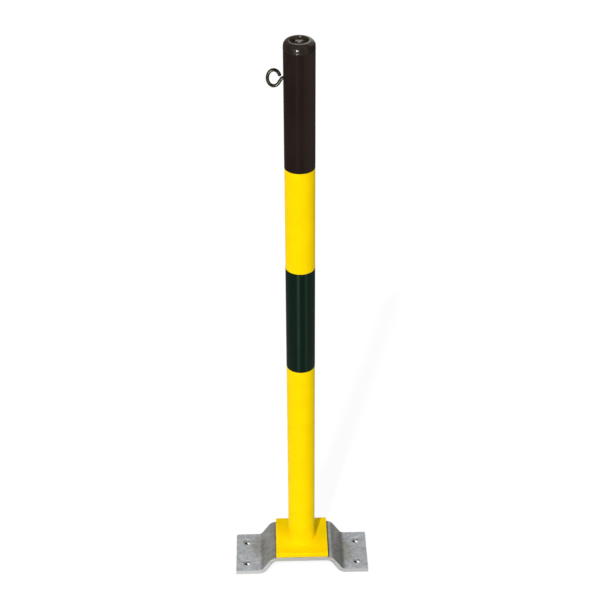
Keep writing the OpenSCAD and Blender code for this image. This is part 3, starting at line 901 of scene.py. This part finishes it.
def headProfile(spec, topZ, tubeTop, floorZ):
    recessZ, plugZ = topZ - spec["recessDeep"], tubeTop - spec["plugDeep"]
    corners = [(spec["recessR"], topZ), (spec["outer"], topZ), (spec["outer"], tubeTop), (spec["plugR"], tubeTop),
               (spec["plugR"], plugZ), (spec["skirtR"], plugZ), (spec["skirtR"], floorZ), (spec["boreR"], floorZ),
               (spec["boreR"], recessZ), (spec["recessR"], recessZ)]
    radii = [spec["rim"], spec["shoulder"], 0.08, 0.2, spec["skirtBevel"], 0.5, 0.3, 0.2, 0.2, 0.4]
    arcs = filletedLoop(corners, radii, 16)
    # a low bead runs round the head just above the film: one wave of a cosine
    half = spec["beadHalf"]
    rise = np.linspace(half, -half, 21)
    swell = spec["bead"] * (1 + np.cos(math.pi * rise / half)) / 2
    bead = np.stack([spec["outer"] + swell, tubeTop + spec["beadUp"] + rise], -1)
    return np.concatenate([arcs[0], arcs[1], bead, *arcs[2:]])


def stopLugs(spec, plugZ, floorZ):
    # the two lugs that stop the cross pin, each a sector under the head's floor and sunk into it a little
    inner, outer = spec["lugR"]
    short, wide = math.asin(spec["lugFlank"] / inner), math.asin(spec["lugFlank"] / outer)
    out = np.linspace(math.pi / 2 + wide, math.pi - wide, 22)
    back = np.linspace(math.pi - short, math.pi / 2 + short, 14)
    sector = np.concatenate([radius * np.stack([np.cos(bow), np.sin(bow)], -1)
                             for radius, bow in ((outer, out), (inner, back))])
    top = floorZ + spec["lugSunk"]

    def lift(flat, height):
        return np.concatenate([flat, ((plugZ + top) / 2 + height)[:, None]], 1)

    return [softPlate(sector * side, [], [], top - plugZ, spec["lugEdge"], lift, guard=0) for side in (1, -1)]


def addHead(spec):
    topZ, tubeTop = span("head_cap")[1][2], span("post_tube")[1][2]
    floorZ = topZ - spec["recessDeep"] - spec["floor"]
    head = revolved(headProfile(spec, topZ, tubeTop, floorZ), 192)
    makePiece("headCap", "head_cap", joined(head, *stopLugs(spec, tubeTop - spec["plugDeep"], floorZ)))


addHead(capSpec)

# Wire eye

eyeSpec = {"wire": 5.2, "width": 24.0, "height": 31.0, "bendGap": 1.7, "cut": 15.0, "leave": 320.0,
           "pastNut": 1.0, "bevel": 0.35, "sides": 32}


def eyePath(spec, nutLow, nutHigh):
    # the wire's middle line: most of an ellipse, a soft bend towards the tube and a straight shank
    eyeZ, filmR, wireR = (nutLow[2] + nutHigh[2]) / 2, span("upper_band")[1][0], spec["wire"] / 2
    size = np.array([spec["width"] - spec["wire"], spec["height"] - spec["wire"]]) / 2
    leave = math.radians(spec["leave"])
    centre = np.array([-(filmR + spec["bendGap"] + size[0] / math.cos(leave)), eyeZ])
    angles = np.radians(np.linspace(spec["cut"], spec["leave"], 150))
    loop = centre + size * np.stack([np.cos(angles), np.sin(angles)], -1)
    slope = size * np.array([-math.sin(leave), math.cos(leave)])
    corner = loop[-1] + slope * (eyeZ - loop[-1][1]) / slope[1]
    before, after = corner - wireR * slope / np.linalg.norm(slope), corner + np.array([wireR, 0])
    share = np.linspace(0, 1, 12)[:, None]
    bend = (1 - share) ** 2 * before + 2 * share * (1 - share) * corner + share ** 2 * after
    return np.concatenate([loop, bend, [[nutHigh[0] + spec["pastNut"], eyeZ]]])


def addEye(spec):
    # a round section carried along the path; both ends close over a small bevel
    path, wireR, bevel = eyePath(spec, *span("eye_nut")), spec["wire"] / 2, spec["bevel"]
    ahead = np.gradient(path, axis=0)
    ahead /= np.linalg.norm(ahead, axis=1)[:, None]
    first, last = path[0], path[-1]
    path = np.concatenate([[first, first, first + ahead[0] * bevel], path[1:-1],
                           [last - ahead[-1] * bevel, last, last]])
    ahead = np.concatenate([[ahead[0]] * 3, ahead[1:-1], [ahead[-1]] * 3])
    radius = np.full((len(path), 1), wireR)
    radius[[0, -1]], radius[[1, -2]] = 0.0, wireR - bevel
    angles = ring(spec["sides"])[None]
    offset = radius * np.cos(angles)
    points = np.stack([path[:, :1] - offset * ahead[:, 1:], radius * np.sin(angles),
                       path[:, 1:] + offset * ahead[:, :1]], -1)
    faces = gridFaces(len(path), spec["sides"], wrapColumns=True)
    makePiece("wireEye", "eye_screw", (points.reshape(-1, 3), faces), sharp=40)


addEye(eyeSpec)

# Triangular key on its spindle

keySpec = {"flat": 4.2, "cornerR": 7.0, "cornerSoft": 0.7, "edge": 0.8, "rodR": 6.0, "rodBevel": 0.6,
           "collarR": 10.5, "collarThick": 3.0, "collarEdge": 0.4, "collarGap": 0.2, "crown": (4.0, 0.05)}


def keyRadius(spec, angles):
    # the nearest of three flats, 120 degrees apart, trimmed by a circle and softened where they meet
    away = (angles[None] - np.radians([90.0, 210.0, 330.0])[:, None] + math.pi) % turn - math.pi
    steepest = 1.35
    flats = np.where(np.abs(away) < steepest, spec["flat"] / np.cos(np.clip(away, -steepest, steepest)), 99).min(0)
    soft = spec["cornerSoft"] / 3
    return -np.log(np.exp(-flats / soft) + np.exp(-spec["cornerR"] / soft)) * soft


def addKey(spec):
    # each row has a radius and a height; the rows of the key add their number to the key's own radius
    low, high = span("key_spindle")
    topZ, bottomZ = high[2], low[2]
    collarZ = span("head_cap")[1][2] - capSpec["recessDeep"] + spec["collarGap"]
    collarTop = collarZ + spec["collarThick"]
    rodR, collarR, bevel, soft, edge = (spec[key] for key in ("rodR", "collarR", "rodBevel", "collarEdge", "edge"))
    arc = [(1 - math.sin(angle), 1 - math.cos(angle)) for angle in np.linspace(0, math.pi / 2, 6)]
    rod = [(0.0, bottomZ), (rodR - bevel, bottomZ), (rodR, bottomZ + bevel), (rodR, collarZ)]
    collar = [(collarR - soft * a, collarZ + soft * b) for a, b in arc]
    collar += [(collarR - soft * b, collarTop - soft * a) for a, b in arc]
    inset, crown = spec["crown"]
    key = [(0.0, collarTop)] + [(-edge * b, topZ - edge * a) for a, b in arc]
    key += [(-inset, topZ + crown), (-99.0, topZ + crown)]
    plain, shaped = np.array(rod + collar), np.array(key)
    angles = ring(240)
    radius = np.concatenate([plain[:, :1] + 0 * angles, np.clip(keyRadius(spec, angles) + shaped[:, :1], 0, None)])
    height = np.concatenate([plain, shaped])[:, 1:]
    faces = gridFaces(len(radius), len(angles), wrapColumns=True)
    makePiece("keySpindle", "key_spindle", (around(radius, height, angles), faces), sharp=30)


addKey(keySpec)


# Bushes, washer, sleeve, rod and pins, all turned

def solidBar(radius, low, high, soft, lying=False, at=(0, 0, 0), count=72):
    # a round bar with softened ends
    outline = filletedLoop([(0, low), (radius, low), (radius, high), (0, high)], [0, soft, soft, 0], 5)
    return revolved(outline.reshape(-1, 2), count, closed=False, lying=lying, at=at)


def hollowBar(inner, outer, low, high, soft):
    outline = filletedLoop([(inner, low), (outer, low), (outer, high), (inner, high)], soft, 5)
    return revolved(outline.reshape(-1, 2), 96)


bushSpec = {"bore": 6.08, "outer": 10.08, "spigotR": 12.58, "spigotEdge": 0.8, "rootEdge": 0.1, "soft": 0.3}


def addBottomBush(spec):
    low, high = span("bottom_bush")
    deckZ, soft = span("foot_plate")[0][2], spec["soft"]
    corners = [(spec["bore"], low[2]), (spec["spigotR"], low[2]), (spec["spigotR"], deckZ), (spec["outer"], deckZ),
               (spec["outer"], high[2]), (spec["bore"], high[2])]
    outline = filletedLoop(corners, [soft, spec["spigotEdge"], soft, spec["rootEdge"], soft, soft], 5)
    makePiece("bottomBush", "bottom_bush", revolved(outline.reshape(-1, 2), 96))


addBottomBush(bushSpec)

ringSpec = (("topBush", "top_bush", 6.08, 0.3), ("thrustWasher", "thrust_washer", 6.04, 0.2),
            ("couplingSleeve", "coupling_sleeve", 6.04, 0.6))
pinSpec = {"stop_pin": ("stopPin", 0.6), "hammer_pin": ("hammerPin", 0.4)}
rodSoft = 0.5


def addTurned():
    # the pieces whose whole form is a ring or a bar, each with its bore or the softness of its ends
    for name, node, bore, soft in ringSpec:
        low, high = span(node)
        makePiece(name, node, hollowBar(bore, high[0], low[2], high[2], soft))
    low, high = span("lock_rod")
    makePiece("lockRod", "lock_rod", solidBar(high[0], low[2], high[2], rodSoft, count=96))
    for node, (name, soft) in pinSpec.items():
        low, high = span(node)
        at = (0, 0, (high[2] + low[2]) / 2)
        makePiece(name, node, solidBar((high[2] - low[2]) / 2, low[0], high[0], soft, lying=True, at=at))


addTurned()

pairSpec = {"proud": 0.15, "soft": 0.35, "tip": 1.0, "point": 3.0, "tipSoft": (0.3, 0.6, 0.3)}


def addPairs(spec):
    # the sleeve's two cross pins stand a little proud of it; the plate's two dowels have a pointed tip
    low, high = span("coupling_pins")
    radius, proud = high[1], spec["proud"]
    bars = [solidBar(radius, low[0] - proud, high[0] + proud, spec["soft"], lying=True, at=(0, 0, z))
            for z in (low[2] + radius, high[2] - radius)]
    makePiece("couplingPins", "coupling_pins", joined(*bars))
    low, high = span("locating_pins")
    radius = high[0]
    corners = [(0, low[2]), (spec["point"], low[2]), (radius, low[2] + spec["tip"]), (radius, high[2]), (0, high[2])]
    outline = filletedLoop(corners, [0, *spec["tipSoft"], 0], 5).reshape(-1, 2)
    dowels = [revolved(outline, 72, closed=False, at=(0, side * (high[1] - radius), 0)) for side in (1, -1)]
    makePiece("locatingPins", "locating_pins", joined(*dowels))


addPairs(pairSpec)

# Nut of the wire eye

nutSpec = {"play": 0.04, "chamfer": (0.0, 0.12, 0.24, 0.4, 0.55), "cone": 1.6}


def addNut(spec):
    # a hexagon whose radius is the nearest of its six flats, trimmed at both ends by a cone, round a straight bore
    low, high = span("eye_nut")
    bore, half, middleZ = eyeSpec["wire"] / 2 + spec["play"], (high[1] - low[1]) / 2, (low[2] + high[2]) / 2
    angles = ring(96)
    away = (angles + math.pi / 6) % (math.pi / 3) - math.pi / 6
    hexagon = half / np.cos(math.pi / 6 - np.abs(away))
    steps = np.array(spec["chamfer"])
    cones = half + np.concatenate([steps, steps[::-1]]) * spec["cone"]
    rim = np.full((1, len(angles)), bore)
    radius = np.concatenate([rim, np.minimum(hexagon[None], cones[:, None]), rim])
    height = np.concatenate([[low[0]], low[0] + steps, high[0] - steps[::-1], [high[0]]])[:, None] + 0 * angles
    points = np.stack([height, radius * np.sin(angles), radius * np.cos(angles) + middleZ], -1)
    faces = gridFaces(len(radius), len(angles), wrapRows=True, wrapColumns=True)
    makePiece("eyeNut", "eye_nut", (points.reshape(-1, 3), faces), sharp=25)


addNut(nutSpec)

# Crossbar under the deck

hammerSpec = {"bore": 6.04, "edge": 0.45, "ramp": 2.5, "rampFrom": 10.0, "step": 0.3, "stations": (18.0, 24.0),
              "inset": 0.6, "tipGap": 1.4}


def addHammer(spec):
    # a bar with round ends; beyond rampFrom, the top of each leading edge falls away at 45 degrees
    low, high = span("hammer_head")
    halfW, halfL, thick = high[0], high[1], high[2] - low[2]
    start, step, crease = spec["rampFrom"], spec["step"], halfW - spec["ramp"]
    near, far = spec["stations"]
    side = np.array([-far, -near, -start, step - start, 0.0, start - step, start, near, far])
    bow = np.linspace(math.asin(halfW / halfL), -math.asin(halfW / halfL), 15)
    end = halfL * np.stack([np.sin(bow), np.cos(bow)], -1)
    flank = np.stack([np.full(len(side), halfW), side], -1)
    edgeX = halfW - spec["inset"]
    creases = ([(crease, start), (crease, near), (crease, halfL - spec["tipGap"])],
               [(crease, start - step), (edgeX, start - step)], [(crease + 0.02, start), (edgeX, start)])
    lines = [sign * np.array(line) for sign in (1, -1) for line in creases]

    def lift(flat, height):
        beyond = np.clip((flat[:, 1] * np.sign(flat[:, 0]) - start + step) / step, 0, 1)
        fall = beyond * np.clip(np.abs(flat[:, 0]) - crease, 0, spec["ramp"])
        share = (height + thick / 2) / thick
        return np.concatenate([flat, (low[2] + share * (thick - fall))[:, None]], 1)

    outline = np.concatenate([flank, end, -flank, -end])
    shape = softPlate(outline, [circle(0, 0, spec["bore"], 64)], lines, thick, spec["edge"], lift, guard=0)
    makePiece("hammerHead", "hammer_head", shape)


addHammer(hammerSpec)
